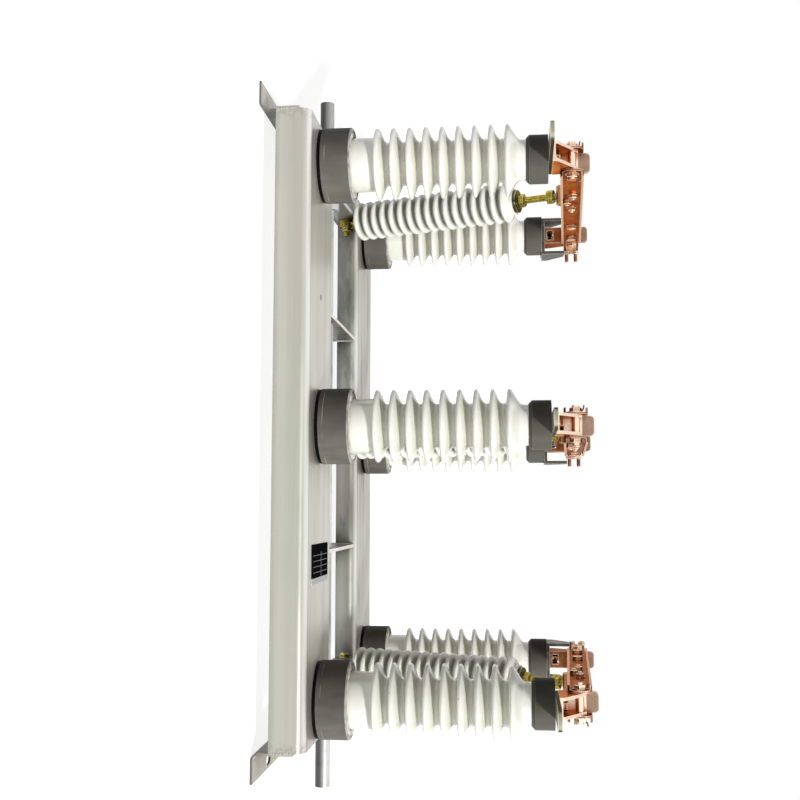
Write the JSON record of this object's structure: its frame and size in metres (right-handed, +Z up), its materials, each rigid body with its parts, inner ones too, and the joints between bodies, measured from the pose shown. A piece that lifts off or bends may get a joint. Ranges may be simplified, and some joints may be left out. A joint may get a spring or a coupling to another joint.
{
  "type": "three-phase disconnect switch",
  "caption": "Disconnect switch for a substation: folded steel beams on feet, rows of ribbed porcelain post insulators, copper knife blades lifted by pull rods from one shaft.",
  "frame": {"origin": "centre of the footprint, on the plane of the four feet", "axes": "+X along the beams and the shaft, +Y from the hinge row to the contact row, +Z up"},
  "size_m": [0.994, 0.646, 0.443],
  "materials": {
    "beams": "brushed stainless sheet, warm grey",
    "feet": "brushed stainless sheet, duller than the beams",
    "castings": "dark grey paint on iron castings, satin",
    "porcelain": "white glaze with a faint green tint, glossy",
    "terminals": "tinned copper bar, pale and dull",
    "copper": "bare copper, bright on edges and brown in the hollows",
    "brass": "yellow zinc plated and brass fittings",
    "shaft": "drawn steel tube",
    "nameplate": "black sheet with thin pale rules, no text"
  },
  "bodies": {
    "frame": {"near_beam": "beams", "near_foot_left": "feet", "near_foot_right": "feet", "near_base_left": "castings", "near_insulator_left": "porcelain", "near_cap_left": "castings", "near_terminal_left": "terminals", "near_contact_left": "copper", "near_base_middle": "castings", "near_insulator_middle": "porcelain", "near_cap_middle": "castings", "near_terminal_middle": "terminals", "near_contact_middle": "copper", "near_base_right": "castings", "near_insulator_right": "porcelain", "near_cap_right": "castings", "near_terminal_right": "terminals", "near_contact_right": "copper", "far_beam": "beams", "far_foot_left": "feet", "far_foot_right": "feet", "far_base_left": "castings", "far_insulator_left": "porcelain", "far_cap_left": "castings", "far_terminal_left": "terminals", "far_contact_left": "copper", "far_base_middle": "castings", "far_insulator_middle": "porcelain", "far_cap_middle": "castings", "far_terminal_middle": "terminals", "far_contact_middle": "copper", "far_base_right": "castings", "far_insulator_right": "porcelain", "far_cap_right": "castings", "far_terminal_right": "terminals", "far_contact_right": "copper", "cross_plate_left": "beams", "cross_plate_right": "beams", "nameplate": "nameplate"},
    "shaft": {"operating_shaft": "shaft"},
    "blade_left": {"blade_left": "copper"},
    "rod_left": {"rod_insulator_left": "porcelain", "rod_low_end_left": "brass", "rod_high_end_left": "brass"},
    "blade_middle": {"blade_middle": "copper"},
    "rod_middle": {"rod_insulator_middle": "porcelain", "rod_low_end_middle": "brass", "rod_high_end_middle": "brass"},
    "blade_right": {"blade_right": "copper"},
    "rod_right": {"rod_insulator_right": "porcelain", "rod_low_end_right": "brass", "rod_high_end_right": "brass"}
  },
  "joints": [
    {"name": "shaft_turn", "type": "hinge", "parent": "frame", "child": "shaft", "pos_m": [0, -0.0475, 0.045], "axis": [1, 0, 0], "range_deg": [0, 70]},
    {"name": "rod_turn_left", "type": "hinge", "parent": "shaft", "child": "rod_left", "pos_m": [-0.35, 0.0925, 0.053], "axis": [1, 0, 0], "range_deg": [-75.7, 0.5]},
    {"name": "blade_turn_left", "type": "hinge", "parent": "frame", "child": "blade_left", "pos_m": [-0.35, -0.195, 0.3985], "axis": [1, 0, 0], "range_deg": [-0.5, 57.3]},
    {"name": "rod_turn_middle", "type": "hinge", "parent": "shaft", "child": "rod_middle", "pos_m": [0, 0.0925, 0.053], "axis": [1, 0, 0], "range_deg": [-75.7, 0.5]},
    {"name": "blade_turn_middle", "type": "hinge", "parent": "frame", "child": "blade_middle", "pos_m": [0, -0.195, 0.3985], "axis": [1, 0, 0], "range_deg": [-0.5, 57.3]},
    {"name": "rod_turn_right", "type": "hinge", "parent": "shaft", "child": "rod_right", "pos_m": [0.35, 0.0925, 0.053], "axis": [1, 0, 0], "range_deg": [-75.7, 0.5]},
    {"name": "blade_turn_right", "type": "hinge", "parent": "frame", "child": "blade_right", "pos_m": [0.35, -0.195, 0.3985], "axis": [1, 0, 0], "range_deg": [-0.5, 57.3]}
  ],
  "couplings": [
    {"joint": "rod_turn_left", "follows": "shaft_turn", "ratio": -1.0715},
    {"joint": "blade_turn_left", "follows": "shaft_turn", "ratio": 0.81248},
    {"joint": "rod_turn_middle", "follows": "shaft_turn", "ratio": -1.0715},
    {"joint": "blade_turn_middle", "follows": "shaft_turn", "ratio": 0.81248},
    {"joint": "rod_turn_right", "follows": "shaft_turn", "ratio": -1.0715},
    {"joint": "blade_turn_right", "follows": "shaft_turn", "ratio": 0.81248}
  ]
}
